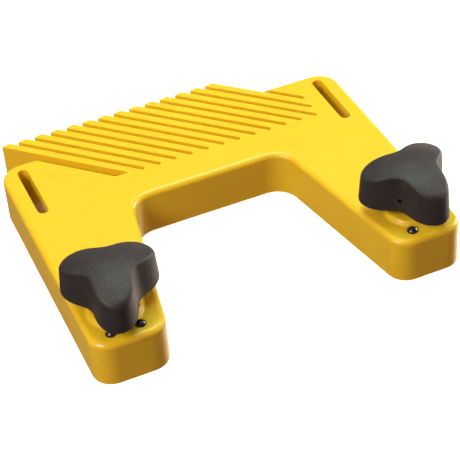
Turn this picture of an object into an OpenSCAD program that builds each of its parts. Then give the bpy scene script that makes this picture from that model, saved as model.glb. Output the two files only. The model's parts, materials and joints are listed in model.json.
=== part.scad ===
// Switchable-magnet featherboard: a U-shaped hold-down with a comb of slanted
// fingers and a rotary on/off magnet in the end of each arm.
// Millimetres, +Z up. The origin is on the underside, at the middle of the crossbar.
// +Y points to the tips of the fingers, X runs along the crossbar.

/* [Body] */
// Overall width across the two arms
body_w = 216; // [204:1:228]
// Height from the underside to the top face
body_h = 27.5; // [27:0.1:32]
// Distance from the origin to the front faces of the arms
arm_reach = 117.5; // [115:0.1:124]
// Distance from the origin to the back edge of the ears
ear_reach = 51; // [48:0.5:56]
// Distance from the origin forwards to the inner face of the crossbar
crossbar_inner = 11.2; // [6:0.1:14]
// Width of one arm at its front end
arm_w = 40.9; // [39.5:0.1:43]
// Width of one arm where it meets the crossbar
arm_root_w = 60.6; // [55:0.1:64]
// Plan radius at the front corners of the arms
front_corner_r = 11.5; // [8:0.5:12]
// Plan radius at the outer corners of the ears
ear_corner_r = 13; // [8:0.5:16]
// Plan radius where the arms meet the crossbar
inner_corner_r = 14; // [8:0.5:18]
// Radius along the top edges
edge_r = 3.2; // [1:0.1:4]
// Thickness of the outer walls
wall = 3; // [2.5:0.1:4]
// Thickness of the top wall
top_wall = 4; // [3:0.1:5]
// Thickness of the ribs under the top wall
rib_w = 2.4; // [1.6:0.1:3]
// Largest distance between neighbouring cross ribs
rib_pitch = 18; // [14:1:20]
// Distance from a magnet axis back to the first rib across the arm
rib_start = 38; // [34:1:44]

/* [Comb] */
// Number of fingers
finger_count = 14; // [10:1:14]
// Spacing of the fingers along X
finger_pitch = 10.12; // [9:0.01:10.5]
// Width of one finger across its length
finger_w = 4.43; // [3.5:0.01:5]
// X of the left corner of the first fingertip
first_tip_x = -98.7; // [-100:0.1:-94]
// Distance from the origin to the left corners of the fingertips
tip_reach = 71.4; // [68:0.05:76]
// How much further back the right corner of a fingertip is than its left corner
tip_slant = 1.05; // [0:0.05:2]
// Y of the closed ends of the slits between the fingers
slit_root_y = 12.4; // [11:0.1:18]
// Largest X that the closed end of a slit may have
slit_limit_x = 80.8; // [78:0.1:82]
// Width of the wide gap beside the first finger, across its length
side_gap_w = 6; // [4.5:0.1:6.5]

/* [Bolt slots] */
// Width of the through slots in the ears
bolt_slot_w = 6.4; // [5:0.1:7]
// Overall length of the through slots
bolt_slot_len = 44.1; // [30:0.1:46]
// Distance of the slots from the centre line
bolt_slot_x = 95.4; // [94:0.1:96]
// Y of the middle of the slots
bolt_slot_y = 22.1; // [20:0.1:24]

/* [Magnet units] */
// Distance of the magnet axes from the centre line
magnet_x = 87.45; // [87:0.05:88]
// Y of the magnet axes
magnet_y = -92.4; // [-94:0.1:-90]
// Diameter of the steel pole housing
housing_d = 30; // [29:0.1:30.5]
// Height of the steel pole housing
housing_h = 20.4; // [20:0.1:20.4]
// Diameter of the bore that holds the magnets
magnet_bore_d = 24; // [23.5:0.1:25]
// Thickness of each magnet
magnet_h = 7.5; // [7:0.1:7.6]
// Width of the lid plate
lid_w = 25; // [24:0.1:25.4]
// Length of the lid plate
lid_len = 40.8; // [40:0.1:42]
// Diameter of the spindle
spindle_d = 8; // [7:0.1:8.2]
// Turn of the switch from off to on
switch_turn = 180; // [150:5:180]
// Radius of the raised pad round the spindle, at its foot
pad_r = 16.5; // [15:0.1:17]
// Width of the soft flank of the raised pad
pad_flank_w = 3.7; // [2.8:0.1:4]
// Height of the raised pad
pad_h = 2.6; // [2.4:0.1:2.8]

/* [Knobs] */
// Radius at the tips of the lobes, at the base of the knob
knob_tip_r = 29; // [27:0.1:30]
// Radius in the valleys, at the base of the knob
knob_valley_r = 15.3; // [15:0.1:18]
// How much the sides lean in from the base to the top
knob_draft = 1.1; // [0.5:0.1:2]
// How pointed the lobes are
knob_lobe_power = 1.22; // [1:0.01:1.4]
// Height of the knob's rim above the top of the body
knob_gap = 7.9; // [6:0.1:9]
// Height of the knob at its centre
knob_h = 25.5; // [24:0.1:28]
// How far the domed top falls from its centre to a lobe tip
knob_dome = 7.7; // [4:0.1:9]
// Radius round the top edge of the knob
knob_edge_r = 4.3; // [2:0.1:5]
// Radius round the bottom edge of the knob
knob_base_r = 2.4; // [1:0.1:3]
// Direction of one lobe of the left knob, from +X
left_knob_turn = 18; // [0:1:119]
// Direction of one lobe of the right knob, from +X
right_knob_turn = 37; // [0:1:119]

/* [Screws] */
// Diameter of the domed screw heads
screw_head_d = 6.1; // [5.5:0.1:6.4]
// Height of the domed screw heads
screw_head_h = 2.3; // [1.8:0.1:2.6]
// Thread diameter of the mounting screws
screw_d = 3; // [2.5:0.1:3.2]
// Spacing of the screws along X
screw_pitch_x = 16.1; // [15:0.1:17]
// Spacing of the screws along Y
screw_pitch_y = 32.7; // [32.4:0.1:33.4]

/* [Hidden] */

$fn = 64;
eps = 0.01;
// Length by which a cut runs past the face that it opens
over = 1;
// Step and overlap where a straight cut and a round cut meet, so that they never just touch
seam_step = 0.02;
seam_lap = 0.05;

// ---- fits ----
press_gap = 0.02;
running_gap = 0.05;
magnet_gap = 0.3;
thrust_gap = 0.1;
pocket_gap = 0.3;
screw_gap = 0.15;
head_gap = 0.3;

// ---- levels, from the underside up ----
bore_lip_h = 0.8;
separator_h = 0.4;
upper_magnet_z = bore_lip_h + magnet_h + separator_h + running_gap;
flange_z = upper_magnet_z + magnet_h + running_gap;
flange_h = 1.9;
bush_z = flange_z + flange_h + thrust_gap;
lid_z = housing_h;
lid_top = body_h - top_wall;
spigot_h = 0.8;
bush_rise = 2;
bush_top = lid_top + bush_rise;
ring_z = bush_top + thrust_gap;
ring_h = 1;
seal_lip_z = ring_z + ring_h + 0.6;
seal_lip_h = 0.7;
pad_top = body_h + pad_h;
hub_gap = 0.3;
knob_z = body_h + knob_gap;
spindle_reach = 16.4;
spindle_top = knob_z + spindle_reach;
seat_depth = 0.3;
seat_z = body_h - seat_depth;

// ---- radii of the magnet unit ----
spindle_r = spindle_d / 2;
bush_r = spindle_r + 2;
ring_r = spindle_r + 2.3;
ring_groove_depth = 0.5;
shaft_hole_r = ring_r + 1.1;
seal_r = 0.95;
seal_seat_r = spindle_r + 2.2;
seal_centre_r = spindle_r + 1.1;
flange_r = magnet_bore_d / 2 - 1;
tongue_w = 5;
tongue_h = 1.8;
stop_radius = 8.5;
stop_pin_r = 1.2;
stop_pin_rise = 3;
stop_gap = 0.1;
lid_corner_r = 4;
web_groove_w = 6;
web_groove_depth = 1.6;

// ---- knob details ----
lobes = 3;
knob_steps = 84;
// Angle of the top edge where the dome takes over
knob_edge_turn = 75;
knob_wall = 3;
knob_cavity_h = 12;
hub_r = 7.5;
flat_depth = 0.9;
grub_r = 1.3;
grub_len = 3.6;
grub_z = knob_z + 8.4;
grub_socket = 1.3;
// Turn from a lobe to the valley that has the grub screw
left_grip = 60;
right_grip = 180;

// ---- plan of the body: corner x, y and radius, anticlockwise ----
half_w = body_w / 2;
front_x = half_w - arm_w;
root_x = half_w - arm_root_w;
PLAN = [
  [-half_w, -arm_reach, front_corner_r],
  [-front_x, -arm_reach, front_corner_r],
  [-root_x, -crossbar_inner, inner_corner_r],
  [root_x, -crossbar_inner, inner_corner_r],
  [front_x, -arm_reach, front_corner_r],
  [half_w, -arm_reach, front_corner_r],
  [half_w, ear_reach, ear_corner_r],
  [-half_w, ear_reach, ear_corner_r]
];

// ---- comb: a line at 45 degrees is x + y = constant ----
root2 = sqrt(2);
finger_run = finger_w * root2;
slit_run = finger_pitch - finger_run;
slit_r = slit_run / root2 / 2;
first_line = first_tip_x + tip_reach;
gap_run = side_gap_w * root2;
comb_wall = 3;
// Distance of the long rib in each arm from the middle of the arm, inwards
long_rib_shift = 5;

// ---- functions for a rounded plan ----
function unit(v) = v / norm(v);
function left_of(v) = [-v.y, v.x];
function wrap(plan, i) = plan[(i + len(plan)) % len(plan)];
function spot(plan, i) = [wrap(plan, i).x, wrap(plan, i).y];
function heading(plan, i) = unit(spot(plan, i + 1) - spot(plan, i));
function cross2(u, v) = u.x * v.y - u.y * v.x;
function side_at(plan, i) = sign(turn_at(plan, i));
function radius_at(plan, i) = wrap(plan, i)[2];
// Signed angle of the turn at a corner, positive to the left
function turn_at(plan, i) = let (u = heading(plan, i - 1), v = heading(plan, i)) atan2(cross2(u, v), u * v);
function run_at(plan, i) = radius_at(plan, i) * tan(abs(turn_at(plan, i)) / 2);
function arc_start(plan, i) = spot(plan, i) - heading(plan, i - 1) * run_at(plan, i);
function arc_end(plan, i) = spot(plan, i) + heading(plan, i) * run_at(plan, i);
function arc_centre(plan, i) = arc_start(plan, i)
  + left_of(heading(plan, i - 1)) * radius_at(plan, i) * side_at(plan, i);
// The same plan with every edge moved inwards by d
function inset_spot(plan, i, d) = let (
    u = heading(plan, i - 1),
    v = heading(plan, i),
    p = spot(plan, i) + left_of(u) * d,
    q = spot(plan, i) + left_of(v) * d
  ) p + u * (cross2(q - p, v) / cross2(u, v));
function inset(plan, d) = [for (i = [0 : len(plan) - 1])
  let (p = inset_spot(plan, i, d)) [p.x, p.y, max(1, radius_at(plan, i) - side_at(plan, i) * d)]];

// ---- functions for the comb ----
function finger_line(i) = first_line + i * finger_pitch;
function slit_line(i) = finger_line(i) + finger_run + slit_run / 2;
// Closed end of slit i, which moves back where the slit would run too far right
function slit_end(i) = let (x = min(slit_limit_x, slit_line(i) - slit_root_y)) [x, slit_line(i) - x];

// ---- functions for the knob ----
function lobe_r(a, tip, valley) = valley + (tip - valley) * pow((1 + cos(lobes * a)) / 2, knob_lobe_power);
// Radius of the side wall at height h above the rim
function wall_r(a, h) = lobe_r(a, knob_tip_r, knob_valley_r) - knob_draft * h / knob_h;
function dome_at(r) = knob_h - knob_dome * pow(r / knob_tip_r, 2);
function knob_edge_h(a) = dome_at(wall_r(a, knob_h - knob_dome));
// One ring of the knob: s under 0 is on the base edge, 0 to 1 on the wall and top edge, over 1 on the dome
function knob_point(a, s) =
  s < 0 ? let (t = (1 + s) * 90, h = knob_base_r * (1 - cos(t)))
    [wall_r(a, h) - knob_base_r * (1 - sin(t)), h]
  : s <= 1 ? let (
      t = s * knob_edge_turn,
      top = knob_edge_h(a),
      h = top - knob_edge_r * (1 - sin(t))
    ) [wall_r(a, top) - knob_edge_r * (1 - cos(t)), h]
  : let (r = knob_point(a, 1)[0] * (2 - s)) [r, dome_at(r)];
KNOB_RINGS = [-1, -0.7, -0.4, -0.01, 0, 0.25, 0.5, 0.75, 1, 1.25, 1.5, 1.75];

// ---------------------------------------------------------------- plan shapes

// Flat plan with true arcs at its corners: the outline cut short by chords, then the arcs' circles.
// The arcs are a hair smaller than the outline's, so that they cross the chords cleanly.
module rounded_plan(plan) {
  last = len(plan) - 1;
  difference() {
    union() {
      polygon([for (i = [0 : last], end = [0, 1]) end == 0 ? arc_start(plan, i) : arc_end(plan, i)]);
      for (i = [0 : last])
        if (side_at(plan, i) > 0) translate(arc_centre(plan, i)) circle(radius_at(plan, i) - seam_step);
    }
    for (i = [0 : last])
      if (side_at(plan, i) < 0) translate(arc_centre(plan, i)) circle(radius_at(plan, i) - seam_step);
  }
}

// Section of the waste outside a rounded top edge, sunk by a given depth; the solid lies towards +X
module edge_waste(r, depth = 0) {
  difference() {
    translate([-over, body_h - r - depth]) square([r + over, r + depth + over]);
    translate([r, body_h - r - depth]) circle(r);
  }
}

// Waste to cut away all round a plan to round its top edge
module rounded_edge_waste(plan, r) {
  for (i = [0 : len(plan) - 1]) {
    way = heading(plan, i);
    from = arc_end(plan, i) - way * seam_lap * max(0, -side_at(plan, i));
    to = arc_start(plan, i + 1) + way * seam_lap * max(0, -side_at(plan, i + 1));
    translate([from.x, from.y, 0])
      rotate([0, 0, atan2(way.y, way.x)])
        rotate([90, 0, 90])
          linear_extrude(norm(to - from)) edge_waste(r);
    corner_waste(plan, i, r);
  }
}

// The waste at one corner: a hair deeper than the straight parts at an outer corner, else shallower
module corner_waste(plan, i, r) {
  c = arc_centre(plan, i);
  out = arc_start(plan, i) - c;
  turn = turn_at(plan, i);
  outer = turn > 0;
  corner_r = radius_at(plan, i) - seam_step;
  lap = outer ? seam_lap / corner_r * 180 / PI : 0;
  first = atan2(out.y, out.x) + min(0, turn) - lap;
  translate([c.x, c.y, 0])
    rotate([0, 0, first])
      rotate_extrude(angle = abs(turn) + 2 * lap)
        translate([corner_r, 0])
          mirror([outer ? 1 : 0, 0])
            edge_waste(r, outer ? seam_step : -seam_step);
}

// Rectangle with rounded corners, centred
module rounded_rectangle(w, l, r) {
  square([w - 2 * r, l], center = true);
  square([w, l - 2 * r], center = true);
  for (x = [-1, 1], y = [-1, 1])
    translate([x * (w / 2 - r), y * (l / 2 - r)]) circle(r);
}

// Slot with round ends, centred, along Y
module stadium(r, l) {
  square([2 * r, l - 2 * r], center = true);
  for (y = [-1, 1])
    translate([0, y * (l / 2 - r)]) circle(r);
}

// Part of the plan that lies on the lines x + y = low to x + y = high, between two values of Y
module slanted_strip(low, high, y0, y1) {
  polygon([[low - y0, y0], [high - y0, y0], [high - y1, y1], [low - y1, y1]]);
}

// ---------------------------------------------------------------- base moulding

// Fingers beyond and inside the back edge of the body
module fingers() {
  start_y = ear_reach - edge_r - over;
  for (i = [0 : finger_count - 1]) {
    low = finger_line(i);
    high = low + finger_run;
    polygon([
      [low - start_y, start_y],
      [high - start_y, start_y],
      [high - tip_reach - tip_slant, tip_reach + tip_slant],
      [low - tip_reach, tip_reach]
    ]);
  }
}

// Slits between the fingers, the last one on the right of the last finger
module slits() {
  open_y = tip_reach + over;
  for (i = [0 : finger_count - 1]) {
    end = slit_end(i);
    low = slit_line(i) - slit_run / 2;
    across = [slit_r, slit_r] / root2;
    polygon([
      end - across,
      end + across,
      [low + slit_run - open_y, open_y],
      [low - open_y, open_y]
    ]);
    translate(end) circle(slit_r - seam_step);
  }
}

// The wide gap between the left ear and the first finger
module side_gap() {
  slanted_strip(first_line - gap_run, first_line, slit_root_y, tip_reach);
}

// Area of the comb that stays solid right through
module comb_block() {
  front = slit_root_y - slit_r - comb_wall;
  left = first_line - gap_run - comb_wall * root2;
  right = slit_line(finger_count - 1) + slit_run / 2 + comb_wall * root2;
  right_x = slit_limit_x + slit_r + comb_wall;
  polygon([
    [left - front, front],
    [right_x, front],
    [right_x, right - right_x],
    [right - ear_reach, ear_reach],
    [left - ear_reach, ear_reach]
  ]);
}

module at_magnet(side) {
  translate([side * magnet_x, magnet_y, 0]) children();
}

module at_screws(side) {
  for (x = [-1, 1], y = [-1, 1])
    translate([side * magnet_x + x * screw_pitch_x / 2, magnet_y + y * screw_pitch_y / 2, 0]) children();
}

// Opening in the underside that takes a magnet unit
module unit_pocket_plan(extra) {
  circle(housing_d / 2 + extra);
  rounded_rectangle(lid_w + 2 * extra, lid_len + 2 * extra, lid_corner_r + extra);
}

// Solid areas and ribs that stay between the pockets of the underside
module ribs() {
  for (side = [-1, 1]) {
    // along the arm
    translate([side * (half_w - arm_w / 2 - long_rib_shift) - rib_w / 2, magnet_y])
      square([rib_w, ear_reach - magnet_y]);
    // across the arm
    for (y = [magnet_y + rib_start : rib_pitch : ear_reach - rib_pitch])
      translate([side > 0 ? root_x - over : -half_w, y]) square([arm_root_w + over, rib_w]);
    // round the bolt slot
    translate([side * bolt_slot_x, bolt_slot_y])
      square([2 * (bolt_slot_w / 2 + wall), bolt_slot_len + 2 * wall], center = true);
    translate([side * magnet_x, magnet_y]) unit_pocket_plan(pocket_gap + wall);
  }
  // across the crossbar
  for (x = [-2 : 1 : 2])
    translate([x * rib_pitch - rib_w / 2, -crossbar_inner]) square([rib_w, ear_reach + crossbar_inner]);
}

// Pockets that hollow the underside
module underside_pockets() {
  translate([0, 0, -over])
    linear_extrude(body_h - top_wall + over)
      difference() {
        rounded_plan(inset(PLAN, wall));
        ribs();
        comb_block();
      }
}

// Raised pad whose flank is a convex arc at the top that runs into a hollow arc at the foot
module pad() {
  top_r = pad_r - pad_flank_w;
  middle_r = pad_r - pad_flank_w / 2;
  arc_r = (pad_flank_w * pad_flank_w + pad_h * pad_h) / (4 * pad_h);
  rotate_extrude() {
    square([top_r, pad_h]);
    square([middle_r, pad_h / 2]);
    intersection() {
      translate([top_r, pad_h - arc_r]) circle(arc_r);
      translate([top_r - eps, pad_h / 2 - eps]) square([pad_flank_w / 2 - seam_step, pad_h]);
    }
    difference() {
      translate([middle_r - eps, 0]) square([pad_flank_w / 2 + eps, pad_h / 2]);
      translate([pad_r, arc_r]) circle(arc_r);
    }
  }
}

// Everything cut out of the moulding round one magnet unit
module unit_cuts(side) {
  at_magnet(side) {
    translate([0, 0, -over]) linear_extrude(lid_top + over) unit_pocket_plan(pocket_gap);
    translate([0, 0, lid_top - over]) cylinder(h = seal_lip_z - lid_top + over, r = shaft_hole_r);
    cylinder(h = pad_top + over, r = spindle_r + 4 * stop_gap);
    translate([0, 0, seal_lip_z + seal_lip_h]) cylinder(h = pad_top, r = seal_seat_r);
  }
  at_screws(side) {
    cylinder(h = body_h + over, r = screw_d / 2 + screw_gap);
    translate([0, 0, seat_z]) cylinder(h = pad_h + over, r = screw_head_d / 2 + head_gap);
  }
}

module base_moulding() {
  color([0.95, 0.83, 0.08])
  difference() {
    union() {
      difference() {
        linear_extrude(body_h) rounded_plan(PLAN);
        rounded_edge_waste(PLAN, edge_r);
      }
      linear_extrude(body_h) fingers();
      for (side = [-1, 1])
        at_magnet(side) translate([0, 0, body_h - eps]) pad();
    }
    underside_pockets();
    translate([0, 0, -over]) linear_extrude(body_h + 2 * over) {
      slits();
      side_gap();
      for (side = [-1, 1])
        translate([side * bolt_slot_x, bolt_slot_y]) stadium(bolt_slot_w / 2, bolt_slot_len);
    }
    for (side = [-1, 1]) unit_cuts(side);
  }
}

// ---------------------------------------------------------------- magnet unit

module pole_housing() {
  color([0.62, 0.63, 0.65])
  difference() {
    cylinder(h = housing_h, r = housing_d / 2);
    translate([0, 0, -over]) cylinder(h = housing_h, r = magnet_bore_d / 2 - bore_lip_h);
    translate([0, 0, bore_lip_h]) cylinder(h = housing_h, r = magnet_bore_d / 2);
    for (x = [-1, 1])
      translate([x * (housing_d / 2 + web_groove_w / 2 - web_groove_depth), 0, housing_h / 2])
        cube([web_groove_w, web_groove_w, housing_h + 2 * over], center = true);
  }
}

module lower_magnet() {
  color([0.78, 0.79, 0.8])
  translate([0, 0, bore_lip_h]) cylinder(h = magnet_h, r = magnet_bore_d / 2 - press_gap);
}

module separator_disc() {
  color([0.92, 0.92, 0.9])
  translate([0, 0, bore_lip_h + magnet_h]) cylinder(h = separator_h, r = magnet_bore_d / 2 - magnet_gap);
}

module upper_magnet() {
  color([0.78, 0.79, 0.8])
  difference() {
    translate([0, 0, upper_magnet_z]) cylinder(h = magnet_h, r = magnet_bore_d / 2 - magnet_gap);
    translate([0, 0, flange_z - tongue_h / 2])
      cube([magnet_bore_d + over, tongue_w + 2 * stop_gap, tongue_h + 2 * stop_gap], center = true);
  }
}

// Flat that the knob and its grub screw grip, cut into a round shaft that faces +X
module shaft_with_flat(r, z0, z1, flat_z, flat_at) {
  difference() {
    translate([0, 0, z0]) cylinder(h = z1 - z0, r = r);
    translate([flat_at, -r - over, flat_z]) cube([2 * r, 2 * (r + over), z1 - flat_z + over]);
  }
}

module spindle(grip_turn) {
  color([0.7, 0.71, 0.72])
  difference() {
    union() {
      translate([0, 0, flange_z]) cylinder(h = flange_h, r = flange_r);
      intersection() {
        translate([0, 0, flange_z - tongue_h / 2 + eps])
          cube([magnet_bore_d, tongue_w, tongue_h], center = true);
        cylinder(h = body_h, r = flange_r);
      }
      rotate([0, 0, grip_turn])
        shaft_with_flat(spindle_r, flange_z, spindle_top, knob_z, spindle_r - flat_depth);
    }
    translate([0, 0, ring_z - running_gap])
      difference() {
        cylinder(h = ring_h + 2 * running_gap, r = spindle_r + over);
        translate([0, 0, -over]) cylinder(h = ring_h + 2 * over, r = spindle_r - ring_groove_depth);
      }
    stop_pin_place() cylinder(h = flange_h + 2 * over, r = stop_pin_r + press_gap, center = true);
  }
}

module stop_pin_place() {
  translate([0, -stop_radius, flange_z + flange_h / 2]) children();
}

module stop_pin() {
  color([0.6, 0.6, 0.62])
  translate([0, -stop_radius, flange_z]) cylinder(h = flange_h + stop_pin_rise, r = stop_pin_r);
}

module spindle_bush() {
  color([0.76, 0.58, 0.3])
  difference() {
    translate([0, 0, bush_z]) cylinder(h = bush_top - bush_z, r = bush_r - press_gap);
    cylinder(h = body_h + over, r = spindle_r + running_gap);
  }
}

module spindle_seal() {
  color([0.08, 0.08, 0.08])
  translate([0, 0, seal_lip_z + seal_lip_h + seal_r])
    rotate_extrude() translate([seal_centre_r, 0]) circle(seal_r);
}

module retaining_ring() {
  color([0.45, 0.46, 0.48])
  difference() {
    translate([0, 0, ring_z]) cylinder(h = ring_h, r = ring_r);
    cylinder(h = body_h + over, r = spindle_r - ring_groove_depth + press_gap);
    translate([0, -spindle_r / 2, ring_z - over]) cube([ring_r + over, spindle_r, ring_h + 2 * over]);
  }
}

// Groove under the lid in which the stop pin swings from off to on
module stop_groove() {
  groove_r = stop_pin_r + stop_gap;
  depth = lid_z - spigot_h - over;
  height = flange_z + flange_h + stop_pin_rise + 2 * stop_gap - depth;
  translate([0, 0, depth]) {
    rotate([0, 0, -90 - switch_turn])
      rotate_extrude(angle = switch_turn)
        translate([stop_radius - groove_r, 0]) square([2 * groove_r, height]);
    for (turn = [0, -switch_turn])
      rotate([0, 0, turn - 90]) translate([stop_radius, 0, 0]) cylinder(h = height, r = groove_r);
  }
}

module magnet_lid() {
  color([0.55, 0.56, 0.58])
  difference() {
    union() {
      translate([0, 0, lid_z])
        linear_extrude(lid_top - lid_z) rounded_rectangle(lid_w, lid_len, lid_corner_r);
      translate([0, 0, lid_z - spigot_h]) cylinder(h = spigot_h + eps, r = magnet_bore_d / 2 - running_gap);
    }
    cylinder(h = body_h, r = bush_r);
    stop_groove();
    for (x = [-1, 1], y = [-1, 1])
      translate([x * screw_pitch_x / 2, y * screw_pitch_y / 2, 0])
        cylinder(h = body_h, r = screw_d / 2 + running_gap);
  }
}

// ---------------------------------------------------------------- knob

// Smooth three-lobed outer skin, closed underneath by a flat face
module knob_skin() {
  rings = len(KNOB_RINGS);
  points = [
    for (s = KNOB_RINGS, k = [0 : knob_steps - 1])
      let (a = k * 360 / knob_steps, p = knob_point(a, s)) [p[0] * cos(a), p[0] * sin(a), p[1]],
    [0, 0, 0],
    [0, 0, knob_h]
  ];
  bottom = rings * knob_steps;
  faces = [
    for (j = [0 : rings - 2], k = [0 : knob_steps - 1], half = [0, 1])
      let (n = (k + 1) % knob_steps, a = j * knob_steps + k, b = j * knob_steps + n)
        half == 0 ? [a, a + knob_steps, b] : [b, a + knob_steps, b + knob_steps],
    for (k = [0 : knob_steps - 1])
      [bottom, k, (k + 1) % knob_steps],
    for (k = [0 : knob_steps - 1])
      [bottom + 1, (rings - 1) * knob_steps + (k + 1) % knob_steps, (rings - 1) * knob_steps + k]
  ];
  polyhedron(points, faces);
}

module knob(turn, grip_turn) {
  cavity = [for (k = [0 : knob_steps - 1])
    let (a = k * 360 / knob_steps, r = wall_r(a, 0) - knob_base_r - knob_wall) [r * cos(a), r * sin(a)]];
  color([0.13, 0.13, 0.135])
  rotate([0, 0, turn])
  difference() {
    union() {
      difference() {
        translate([0, 0, knob_z]) knob_skin();
        translate([0, 0, knob_z - over]) linear_extrude(knob_cavity_h + over) polygon(cavity);
      }
      translate([0, 0, pad_top + hub_gap]) cylinder(h = knob_z + knob_cavity_h - pad_top, r = hub_r);
    }
    rotate([0, 0, grip_turn])
      shaft_with_flat(spindle_r + running_gap, pad_top, spindle_top + hub_gap, knob_z + hub_gap,
        spindle_r - flat_depth + running_gap);
    rotate([0, 0, grip_turn]) translate([0, 0, grub_z]) rotate([0, 90, 0])
      cylinder(h = knob_tip_r, r = grub_r + running_gap);
  }
}

// Grub screw with a hexagonal socket, bearing on the flat of the spindle
module knob_grub_screw() {
  tip = spindle_r - flat_depth + running_gap;
  color([0.1, 0.1, 0.1])
  translate([0, 0, grub_z]) rotate([0, 90, 0])
    difference() {
      translate([0, 0, tip]) cylinder(h = grub_len, r = grub_r);
      translate([0, 0, tip + grub_len / 2]) cylinder(h = grub_len, r = grub_socket / 2, $fn = 6);
    }
}

// ---------------------------------------------------------------- screws

// Domed head with a hexagonal socket, in its seat in the top face of the body
module screw() {
  head_r = screw_head_d / 2;
  dome_r = (head_r * head_r + screw_head_h * screw_head_h) / (2 * screw_head_h);
  difference() {
    union() {
      intersection() {
        translate([0, 0, seat_z + screw_head_h - dome_r]) sphere(dome_r);
        translate([0, 0, seat_z]) cylinder(h = screw_head_h, r = head_r);
      }
      translate([0, 0, lid_z + over]) cylinder(h = seat_z - lid_z - over + eps, r = screw_d / 2);
    }
    translate([0, 0, seat_z + screw_head_h / 2]) cylinder(h = screw_head_h, r = screw_d / 3, $fn = 6);
  }
}

module mounting_screws() {
  color([0.04, 0.04, 0.04])
  for (side = [-1, 1]) at_screws(side) screw();
}

module switch_part(side) {
  turn = side < 0 ? left_knob_turn : right_knob_turn;
  grip = side < 0 ? left_grip : right_grip;
  at_magnet(side) rotate([0, 0, turn + grip]) children();
}

base_moulding();
mounting_screws();

at_magnet(-1) knob(left_knob_turn, left_grip);  // left_knob
switch_part(-1) knob_grub_screw();  // left_knob_grub_screw
at_magnet(-1) spindle(left_knob_turn + left_grip);  // left_spindle
at_magnet(-1) spindle_bush();  // left_spindle_bush
at_magnet(-1) spindle_seal();  // left_spindle_seal
at_magnet(-1) retaining_ring();  // left_retaining_ring
at_magnet(-1) magnet_lid();  // left_magnet_lid
at_magnet(-1) stop_pin();  // left_stop_pin
at_magnet(-1) pole_housing();  // left_pole_housing
at_magnet(-1) upper_magnet();  // left_upper_magnet
at_magnet(-1) separator_disc();  // left_separator_disc
at_magnet(-1) lower_magnet();  // left_lower_magnet

at_magnet(1) knob(right_knob_turn, right_grip);  // right_knob
switch_part(1) knob_grub_screw();  // right_knob_grub_screw
at_magnet(1) spindle(right_knob_turn + right_grip);  // right_spindle
at_magnet(1) spindle_bush();  // right_spindle_bush
at_magnet(1) spindle_seal();  // right_spindle_seal
at_magnet(1) retaining_ring();  // right_retaining_ring
at_magnet(1) magnet_lid();  // right_magnet_lid
at_magnet(1) stop_pin();  // right_stop_pin
at_magnet(1) pole_housing();  // right_pole_housing
at_magnet(1) upper_magnet();  // right_upper_magnet
at_magnet(1) separator_disc();  // right_separator_disc
at_magnet(1) lower_magnet();  // right_lower_magnet
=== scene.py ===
"""Looks of the switchable-magnet featherboard: materials, smooth knobs, light and camera around the CAD."""

import json
import math

import bmesh
import bpy
from mathutils import Matrix, Vector


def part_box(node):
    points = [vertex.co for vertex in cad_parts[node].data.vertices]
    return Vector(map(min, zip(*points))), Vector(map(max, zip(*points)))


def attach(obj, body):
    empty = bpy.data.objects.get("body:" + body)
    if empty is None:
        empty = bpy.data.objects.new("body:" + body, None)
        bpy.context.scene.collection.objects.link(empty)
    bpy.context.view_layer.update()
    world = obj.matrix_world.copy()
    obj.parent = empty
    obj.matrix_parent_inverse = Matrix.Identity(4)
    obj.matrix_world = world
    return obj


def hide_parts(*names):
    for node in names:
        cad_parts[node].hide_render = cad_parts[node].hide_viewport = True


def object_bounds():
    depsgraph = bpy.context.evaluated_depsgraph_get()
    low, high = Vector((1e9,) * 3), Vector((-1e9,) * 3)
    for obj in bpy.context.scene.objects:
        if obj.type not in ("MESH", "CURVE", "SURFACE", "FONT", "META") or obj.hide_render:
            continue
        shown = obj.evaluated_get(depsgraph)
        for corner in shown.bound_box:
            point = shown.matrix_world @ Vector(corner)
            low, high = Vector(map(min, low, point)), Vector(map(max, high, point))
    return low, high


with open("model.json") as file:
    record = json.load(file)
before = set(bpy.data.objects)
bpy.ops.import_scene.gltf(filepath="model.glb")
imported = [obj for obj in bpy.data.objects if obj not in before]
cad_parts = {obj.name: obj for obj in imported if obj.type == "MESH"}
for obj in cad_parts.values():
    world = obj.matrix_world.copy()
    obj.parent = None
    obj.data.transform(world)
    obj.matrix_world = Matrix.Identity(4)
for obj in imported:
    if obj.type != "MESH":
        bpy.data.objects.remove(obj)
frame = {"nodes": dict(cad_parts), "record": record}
cad_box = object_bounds()
MM = 0.001

# ---------------------------------------------------------------- camera

# Place in metres, and angles in degrees: yaw from +Y towards +X, pitch down, roll about the line of sight
CAMERA_PLACE = (-0.23914, -0.67090, 0.57612)
CAMERA_YAW = 20.936
CAMERA_PITCH = 38.202
CAMERA_ROLL = -4.403
# Film width and focal length in millimetres, and how far the picture is shifted, as a share of its width
FILM_WIDTH = 36
FOCAL_LENGTH = 121.27
PICTURE_SHIFT = -0.1138
CLIP_START = 0.01


def make_camera():
    """The photograph's viewpoint: in front and to the left, looking down, tilted a little."""
    yaw = math.radians(CAMERA_YAW)
    pitch = math.radians(CAMERA_PITCH)
    roll = math.radians(CAMERA_ROLL)
    forward = Vector((math.sin(yaw) * math.cos(pitch), math.cos(yaw) * math.cos(pitch), -math.sin(pitch)))
    level_right = Vector((math.cos(yaw), -math.sin(yaw), 0))
    level_up = level_right.cross(forward)
    right = math.cos(roll) * level_right + math.sin(roll) * level_up
    up = math.cos(roll) * level_up - math.sin(roll) * level_right
    data = bpy.data.cameras.new("camera")
    data.sensor_width = FILM_WIDTH
    data.lens = FOCAL_LENGTH
    data.shift_y = PICTURE_SHIFT
    data.clip_start = CLIP_START
    camera = bpy.data.objects.new("camera", data)
    turn = Matrix((right, up, -forward)).transposed().to_4x4()
    camera.matrix_world = Matrix.Translation(CAMERA_PLACE) @ turn
    bpy.context.scene.collection.objects.link(camera)
    bpy.context.scene.camera = camera


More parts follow.
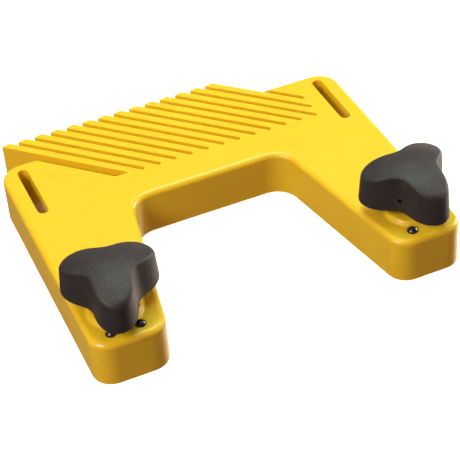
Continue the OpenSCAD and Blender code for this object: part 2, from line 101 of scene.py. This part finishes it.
# ---------------------------------------------------------------- node helpers


class Nodes:
    """A short way to build a material's node tree."""

    def __init__(self, name):
        self.material = bpy.data.materials.new(name)
        self.material.use_nodes = True
        self.tree = self.material.node_tree
        self.shader = self.tree.nodes["Principled BSDF"]
        self.place = self.add("ShaderNodeTexCoord").outputs["Object"]

    def add(self, kind, **values):
        node = self.tree.nodes.new(kind)
        for key, value in values.items():
            setattr(node, key, value)
        return node

    def link(self, source, target):
        self.tree.links.new(source, target)

    def noise(self, scale, detail=4.0, roughness=0.55, distortion=0.0):
        """Noise in the object's own space, with scale in waves per metre."""
        node = self.add("ShaderNodeTexNoise")
        self.link(self.place, node.inputs["Vector"])
        node.inputs["Scale"].default_value = scale
        node.inputs["Detail"].default_value = detail
        node.inputs["Roughness"].default_value = roughness
        node.inputs["Distortion"].default_value = distortion
        return node.outputs["Fac"]

    def remap(self, value, low, high, start=0.3, end=0.7):
        """value, which runs from start to end, brought to low to high."""
        node = self.add("ShaderNodeMapRange")
        self.link(value, node.inputs["Value"])
        for key, number in (("From Min", start), ("From Max", end), ("To Min", low), ("To Max", high)):
            node.inputs[key].default_value = number
        return node.outputs["Result"]

    def maths(self, operation, a, b):
        """A maths node over two values, each a number or a socket."""
        node = self.add("ShaderNodeMath", operation=operation)
        for socket, value in zip(node.inputs, (a, b)):
            if isinstance(value, (int, float)):
                socket.default_value = value
            else:
                self.link(value, socket)
        return node.outputs["Value"]

    def blend(self, factor, first, second):
        """A mix of two constant colours."""
        node = self.add("ShaderNodeMix", data_type="RGBA")
        self.link(factor, node.inputs["Factor"])
        ends = [s for s in node.inputs if s.type == "RGBA"]
        for socket, colour in zip(ends, (first, second)):
            socket.default_value = (*colour, 1)
        return [s for s in node.outputs if s.type == "RGBA"][0]

    def bump(self, height, distance, strength, after=None):
        """A normal from height, where distance is its depth in metres, on top of the normal after."""
        node = self.add("ShaderNodeBump")
        self.link(height, node.inputs["Height"])
        node.inputs["Distance"].default_value = distance
        node.inputs["Strength"].default_value = strength
        if after is not None:
            self.link(after, node.inputs["Normal"])
        return node.outputs["Normal"]

    def set(self, **values):
        """Sets the shader's sockets, named with _ for a space, to constants or to other sockets."""
        for key, value in values.items():
            socket = self.shader.inputs[key.replace("_", " ")]
            if isinstance(value, bpy.types.NodeSocket):
                self.link(value, socket)
            elif socket.type == "RGBA":
                socket.default_value = (*value, 1)
            else:
                socket.default_value = value


# ---------------------------------------------------------------- materials

# Pairs of colours that a material drifts between
YELLOW_DEEP = (0.745, 0.515, 0.016)
YELLOW_PALE = (0.775, 0.54, 0.021)
CHARCOAL_DEEP = (0.0125, 0.0115, 0.0118)
CHARCOAL_PALE = (0.028, 0.026, 0.0265)
SCREW_DEEP = (0.008, 0.008, 0.008)
SCREW_PALE = (0.02, 0.019, 0.018)
FLOOR_WHITE = (0.93, 0.93, 0.93)
# Depths of surface texture, in metres
RIPPLE_DEPTH = 0.00008
FINE_GRAIN_DEPTH = 0.00001
GRAIN_DEPTH = 0.00002
KNOB_SPECKLE_DEPTH = 0.00025
KNOB_GRAIN_DEPTH = 0.00006


def yellow_plastic():
    """Glossy moulded plastic that lets a little light in, with a faint ripple."""
    n = Nodes("yellow_plastic")
    cloud = n.noise(14, 3)
    grain = n.noise(2600, 2, 0.6)
    ripple = n.noise(90, 2)
    colour = n.blend(n.remap(cloud, 0, 1), YELLOW_DEEP, YELLOW_PALE)
    n.set(Base_Color=colour, Roughness=n.remap(grain, 0.27, 0.37), Specular_IOR_Level=0.45)
    n.set(Subsurface_Weight=0.4, Subsurface_Radius=(1.0, 0.3, 0.05), Subsurface_Scale=0.006)
    rippled = n.bump(ripple, RIPPLE_DEPTH, 0.35)
    n.set(Normal=n.bump(grain, GRAIN_DEPTH, 0.5, rippled))
    return n.material


def knob_plastic():
    """Charcoal plastic with a coarse, matt, speckled surface."""
    n = Nodes("knob_plastic")
    cloud = n.noise(90, 6, 0.7)
    speckle = n.noise(700, 3, 0.6)
    grain = n.noise(2200, 3, 0.7)
    mottle = n.maths("ADD", n.maths("MULTIPLY", cloud, 0.6), n.maths("MULTIPLY", speckle, 0.4))
    colour = n.blend(n.remap(mottle, 0, 1, 0.38, 0.62), CHARCOAL_DEEP, CHARCOAL_PALE)
    n.set(Base_Color=colour, Roughness=n.remap(grain, 0.48, 0.64), Specular_IOR_Level=0.45)
    speckled = n.bump(speckle, KNOB_SPECKLE_DEPTH, 0.6)
    n.set(Normal=n.bump(grain, KNOB_GRAIN_DEPTH, 0.7, speckled))
    return n.material


def black_screw():
    """Shiny blackened steel."""
    n = Nodes("screw_black")
    grain = n.noise(900, 3)
    colour = n.blend(n.remap(grain, 0, 1), SCREW_DEEP, SCREW_PALE)
    n.set(Base_Color=colour, Roughness=n.remap(grain, 0.18, 0.32), Coat_Weight=0.4)
    n.set(Normal=n.bump(grain, FINE_GRAIN_DEPTH, 0.4))
    return n.material


def metal(name, pale, deep, smooth, rough):
    """Bare metal whose colour and roughness both drift with its grain."""
    n = Nodes(name)
    grain = n.noise(400, 5, 0.7, 0.3)
    n.set(Base_Color=n.blend(n.remap(grain, 0, 1), deep, pale), Metallic=1.0)
    n.set(Roughness=n.remap(grain, smooth, rough), Normal=n.bump(grain, FINE_GRAIN_DEPTH, 0.5))
    return n.material


def dull(name, pale, deep, rough):
    """Rubber or plain plastic, with a roughness that drifts a little round rough."""
    n = Nodes(name)
    grain = n.noise(300, 4, 0.6)
    n.set(Base_Color=n.blend(n.remap(grain, 0, 1), deep, pale))
    n.set(Roughness=n.remap(grain, rough - 0.08, rough + 0.08), Normal=n.bump(grain, GRAIN_DEPTH, 0.5))
    return n.material


def floor_material():
    """White, with a glow of its own that keeps it white round the object."""
    n = Nodes("floor")
    n.set(Base_Color=FLOOR_WHITE, Roughness=0.9, Specular_IOR_Level=0.1)
    n.set(Emission_Color=(1, 1, 1), Emission_Strength=0.8)
    return n.material


# Each by the name of its slot in the record
MATERIALS = {
    "yellow_plastic": yellow_plastic(),
    "knob_plastic": knob_plastic(),
    "screw_black": black_screw(),
    "spindle_steel": metal("spindle_steel", (0.60, 0.60, 0.61), (0.5, 0.5, 0.51), 0.2, 0.35),
    "bush_bronze": metal("bush_bronze", (0.62, 0.40, 0.16), (0.5, 0.3, 0.11), 0.3, 0.5),
    "seal_rubber": dull("seal_rubber", (0.02, 0.02, 0.02), (0.012, 0.012, 0.012), 0.7),
    "spring_steel": metal("spring_steel", (0.3, 0.31, 0.34), (0.22, 0.23, 0.25), 0.3, 0.45),
    "lid_alloy": metal("lid_alloy", (0.66, 0.67, 0.69), (0.55, 0.56, 0.58), 0.35, 0.55),
    "pole_steel": metal("pole_steel", (0.56, 0.57, 0.59), (0.45, 0.46, 0.48), 0.22, 0.42),
    "magnet_nickel": metal("magnet_nickel", (0.74, 0.72, 0.67), (0.66, 0.64, 0.6), 0.12, 0.22),
    "separator_plastic": dull("separator_plastic", (0.8, 0.8, 0.76), (0.7, 0.7, 0.66), 0.5),
}


def dress_nodes():
    """Gives every CAD node the material of its slot."""
    for node in frame["nodes"].values():
        for slot in node.material_slots:
            name = slot.material.name if slot.material else ""
            for key, material in MATERIALS.items():
                if name.startswith(key):
                    slot.link = "OBJECT"
                    slot.material = material


# ---------------------------------------------------------------- smooth knobs

# Sizes in millimetres, with heights from the knob's rim. All but the rounded edges are the CAD's.
KNOB_TIP_R = 29.0
KNOB_VALLEY_R = 15.3
KNOB_DRAFT = 1.1
KNOB_H = 25.5
KNOB_DOME = 7.7
TIP_EDGE_R = 5.0
VALLEY_EDGE_R = 1.7
BASE_EDGE_R = 2.2
SMALL_EDGE = 0.4
CAVITY_H = 12.0
CAVITY_WALL = 5.4
HUB_R = 7.5
BORE_R = 4.05
BORE_TOP = 16.7
GRUB_R = 1.35
GRUB_H = 8.4
# Higher powers give slimmer lobes and wider valleys
KNOB_LOBE_POWER = 1.22
LOBES = 3
# Steps of the mesh: round the knob, along its section, and round the drill
ANGLE_STEPS = 240
BASE_EDGE_STEPS = 8
SIDE_STEPS = 8
TOP_EDGE_STEPS = 12
DOME_STEPS = 20
DRILL_SIDES = 30
# Rounds that settle where the top's rounded edge meets the dome
TOUCH_ROUNDS = 8
# Edges that turn by more than this many degrees stay sharp
SHARP_ANGLE = 38
# Direction of one lobe from +X, and the turn from it to the valley that has the grub screw, in degrees
KNOB_TURNS = {"left": (18, 60), "right": (37, 180)}


def arc(centre, radius, start, end, steps):
    """Points of an arc in a section, from one angle to another, in degrees."""
    angles = [math.radians(start + (end - start) * k / steps) for k in range(steps + 1)]
    return [(centre[0] + radius * math.cos(a), centre[1] + radius * math.sin(a)) for a in angles]


def dome_height(r):
    """Height of the domed top at a radius."""
    return KNOB_H - KNOB_DOME * (r / KNOB_TIP_R) ** 2


def dome_touch(top_r, edge_r):
    """Radius where a rounded edge inside top_r meets the dome smoothly, and the dome's slope there."""
    touch_r = top_r - edge_r
    for _ in range(TOUCH_ROUNDS):
        slope = math.atan(2 * KNOB_DOME * touch_r / KNOB_TIP_R**2)
        touch_r = top_r - edge_r + edge_r * math.sin(slope)
    return touch_r, slope


def inner_section(base_r, hub_bottom):
    """The bore, the hub's end and side, and the hollow round the hub, out to the rim."""
    cavity_r = base_r - CAVITY_WALL
    return [
        (BORE_R, BORE_TOP),
        (BORE_R, hub_bottom + SMALL_EDGE),
        (BORE_R + SMALL_EDGE, hub_bottom),
        (HUB_R - SMALL_EDGE, hub_bottom),
        (HUB_R, hub_bottom + SMALL_EDGE),
        (HUB_R, CAVITY_H),
        (cavity_r, CAVITY_H),
        (cavity_r, SMALL_EDGE),
        (cavity_r + SMALL_EDGE, 0),
    ]


def outer_section(base_r, edge_r):
    """The rounded rim, the side with its draft, the rounded top edge and the dome, in to the axis."""
    top_r = base_r - KNOB_DRAFT
    touch_r, slope = dome_touch(top_r, edge_r)
    edge_h = dome_height(touch_r) - edge_r * math.cos(slope)
    points = arc((base_r - BASE_EDGE_R, BASE_EDGE_R), BASE_EDGE_R, -90, 0, BASE_EDGE_STEPS)
    for k in range(1, SIDE_STEPS):
        side_r = base_r - KNOB_DRAFT * k / SIDE_STEPS
        points.append((side_r, BASE_EDGE_R + (edge_h - BASE_EDGE_R) * k / SIDE_STEPS))
    points += arc((top_r - edge_r, edge_h), edge_r, 0, 90 - math.degrees(slope), TOP_EDGE_STEPS)
    for k in range(1, DOME_STEPS):
        dome_r = touch_r * (1 - k / DOME_STEPS)
        points.append((dome_r, dome_height(dome_r)))
    return points


def knob_section(angle, hub_bottom):
    """Half section of the knob at one angle from a lobe, from the bore out and up to the dome."""
    share = ((1 + math.cos(LOBES * angle)) / 2) ** KNOB_LOBE_POWER
    base_r = KNOB_VALLEY_R + (KNOB_TIP_R - KNOB_VALLEY_R) * share
    edge_r = VALLEY_EDGE_R + (TIP_EDGE_R - VALLEY_EDGE_R) * share
    return inner_section(base_r, hub_bottom) + outer_section(base_r, edge_r)


def knob_mesh(name, hub_bottom):
    """Closed mesh of a knob with a round bore and a lobe along +X, in metres, its rim at height 0."""
    # The half step keeps every section off the axis of the drilled hole, so the cut comes out clean
    angles = [2 * math.pi * (k + 0.5) / ANGLE_STEPS for k in range(ANGLE_STEPS)]
    sections = [knob_section(angle, hub_bottom) for angle in angles]
    rings = len(sections[0])
    vertices = [(0, 0, BORE_TOP * MM), (0, 0, KNOB_H * MM)]
    for angle, section in zip(angles, sections):
        for r, h in section:
            vertices.append((r * math.cos(angle) * MM, r * math.sin(angle) * MM, h * MM))
    faces = []
    for k in range(ANGLE_STEPS):
        here = 2 + k * rings
        there = 2 + (k + 1) % ANGLE_STEPS * rings
        faces.append((0, there, here))
        faces.append((1, here + rings - 1, there + rings - 1))
        for j in range(rings - 1):
            faces.append((here + j, there + j, there + j + 1, here + j + 1))
    mesh = bpy.data.meshes.new(name)
    mesh.from_pydata(vertices, [], faces)
    return mesh


def drill_bit(grip):
    """A cylinder at the height of the grub screw, from inside the bore out past the knob's side."""
    start = BORE_R / 2
    length = KNOB_TIP_R - start
    radius = GRUB_R * MM
    mesh = bpy.data.meshes.new("drill")
    shape = bmesh.new()
    bmesh.ops.create_cone(
        shape, cap_ends=True, segments=DRILL_SIDES, radius1=radius, radius2=radius, depth=length * MM
    )
    shape.to_mesh(mesh)
    shape.free()
    bit = bpy.data.objects.new("drill", mesh)
    middle = Matrix.Translation(((start + length / 2) * MM, 0, GRUB_H * MM))
    lie = Matrix.Rotation(math.pi / 2, 4, "Y") @ Matrix.Rotation(math.pi / DRILL_SIDES, 4, "Z")
    bit.matrix_world = Matrix.Rotation(math.radians(grip), 4, "Z") @ middle @ lie
    return bit


def drill(piece, grip):
    """Cuts the grub screw's hole in the valley that is grip degrees round from +X."""
    bit = drill_bit(grip)
    bpy.context.scene.collection.objects.link(bit)
    cut = piece.modifiers.new("cut", "BOOLEAN")
    cut.object = bit
    cut.solver = "EXACT"
    bpy.context.view_layer.update()
    drilled = bpy.data.meshes.new_from_object(piece.evaluated_get(bpy.context.evaluated_depsgraph_get()))
    piece.modifiers.clear()
    piece.data = drilled
    bpy.data.objects.remove(bit)


def make_knob(side):
    """A smooth knob in the place of the CAD knob, whose facets are coarse."""
    node = side + "_knob"
    name = node + "_smooth"
    low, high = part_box(node)
    joint = next(j for j in frame["record"]["behaviour"]["joints"] if j["name"] == side + "_knob_turn")
    rim = high[2] - KNOB_H * MM
    turn, grip = KNOB_TURNS[side]
    piece = bpy.data.objects.new(name, knob_mesh(name, (low[2] - rim) / MM))
    bpy.context.scene.collection.objects.link(piece)
    drill(piece, grip)
    piece.data.transform(Matrix.Rotation(math.radians(turn), 4, "Z"))
    piece.matrix_world = Matrix.Translation((joint["pos_m"][0], joint["pos_m"][1], rim))
    for polygon in piece.data.polygons:
        polygon.use_smooth = True
    piece.data.set_sharp_from_angle(angle=math.radians(SHARP_ANGLE))
    piece.data.materials.append(MATERIALS["knob_plastic"])
    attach(piece, side + "_switch")
    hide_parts(node)


# ---------------------------------------------------------------- stage and light

# Half the side of the square floor and its gap below the object, in metres
FLOOR_REACH = 3.0
FLOOR_GAP = 0.0001
# The surround's light above the horizon, and the sines of elevation between which it changes
HORIZON_LIGHT = (0.37, 0.22, 0.22)
SKY_LIGHT = (0.26, 0.13, 0.13)
HORIZON_TOP = 0.1
SKY_START = 0.25
# Its light below the horizon, which brightens towards the back right: the way there, and where it changes
GROUND_LIGHT = (0.22, 0.145, 0.15)
BRIGHT_GROUND_LIGHT = (2.8, 2.3, 1.9)
BRIGHT_WAY = (0.82, 0.57, 0)
DIM_END = 0.45
BRIGHT_START = 0.75


def make_stage():
    """A white floor that the camera sees, but that throws no light back onto the object."""
    corners = [(-FLOOR_REACH, -FLOOR_REACH, 0), (FLOOR_REACH, -FLOOR_REACH, 0)]
    corners += [(FLOOR_REACH, FLOOR_REACH, 0), (-FLOOR_REACH, FLOOR_REACH, 0)]
    mesh = bpy.data.meshes.new("floor")
    mesh.from_pydata(corners, [], [(0, 1, 2, 3)])
    mesh.materials.append(floor_material())
    floor = bpy.data.objects.new("floor", mesh)
    floor.location.z = cad_box[0][2] - FLOOR_GAP
    floor.visible_diffuse = False
    floor.visible_glossy = False
    bpy.context.scene.collection.objects.link(floor)


def area_light(name, place, size, power, colour):
    """A round lamp that faces the frame's origin, with its place and size in metres."""
    data = bpy.data.lights.new(name, "AREA")
    data.shape = "DISK"
    data.size = size
    data.energy = power
    data.color = colour
    light = bpy.data.objects.new(name, data)
    light.location = place
    light.rotation_euler = (-Vector(place)).to_track_quat("-Z", "Y").to_euler()
    bpy.context.scene.collection.objects.link(light)


def colour_ramp(tree, value, stops):
    """A ramp over value, from pairs of a place and a colour."""
    ramp = tree.nodes.new("ShaderNodeValToRGB")
    tree.links.new(value, ramp.inputs["Fac"])
    elements = ramp.color_ramp.elements
    while len(elements) < len(stops):
        elements.new(0.5)
    for element, (place, colour) in zip(elements, stops):
        element.position = place
        element.color = (*colour, 1)
    return ramp.outputs["Color"]


def make_world():
    """A dim reddish surround, a little paler along the horizon, and bright only low at the back right."""
    world = bpy.data.worlds.new("studio")
    world.use_nodes = True
    tree = world.node_tree
    way = tree.nodes.new("ShaderNodeTexCoord").outputs["Generated"]
    split = tree.nodes.new("ShaderNodeSeparateXYZ")
    tree.links.new(way, split.inputs["Vector"])
    rightwards = tree.nodes.new("ShaderNodeVectorMath")
    rightwards.operation = "DOT_PRODUCT"
    rightwards.inputs[1].default_value = BRIGHT_WAY
    tree.links.new(way, rightwards.inputs[0])
    sky_stops = ((0.0, HORIZON_LIGHT), (HORIZON_TOP, HORIZON_LIGHT), (SKY_START, SKY_LIGHT))
    sky = colour_ramp(tree, split.outputs["Z"], sky_stops)
    ground_stops = ((DIM_END, GROUND_LIGHT), (BRIGHT_START, BRIGHT_GROUND_LIGHT))
    ground = colour_ramp(tree, rightwards.outputs["Value"], ground_stops)
    above = tree.nodes.new("ShaderNodeMath")
    above.operation = "GREATER_THAN"
    above.inputs[1].default_value = 0
    tree.links.new(split.outputs["Z"], above.inputs[0])
    choose = tree.nodes.new("ShaderNodeMixRGB")
    tree.links.new(above.outputs["Value"], choose.inputs["Fac"])
    tree.links.new(ground, choose.inputs["Color1"])
    tree.links.new(sky, choose.inputs["Color2"])
    tree.links.new(choose.outputs["Color"], tree.nodes["Background"].inputs["Color"])
    bpy.context.scene.world = world


def make_light():
    """The surround, a wide greenish lamp above, a weaker one on the right and a warm one on the left."""
    make_world()
    area_light("top_light", (0.25, 0.3, 1.35), size=0.9, power=15.5, colour=(0.82, 1, 0.92))
    area_light("right_light", (0.9, 0.05, 0.28), size=0.4, power=7, colour=(1, 0.95, 0.85))
    area_light("left_light", (-1.0, -0.42, 0.9), size=0.6, power=15.5, colour=(1, 0.9, 0.8))


make_camera()
make_stage()
make_light()
dress_nodes()
for side in KNOB_TURNS:
    make_knob(side)
bpy.context.scene.view_settings.view_transform = "Standard"

bpy.context.view_layer.update()
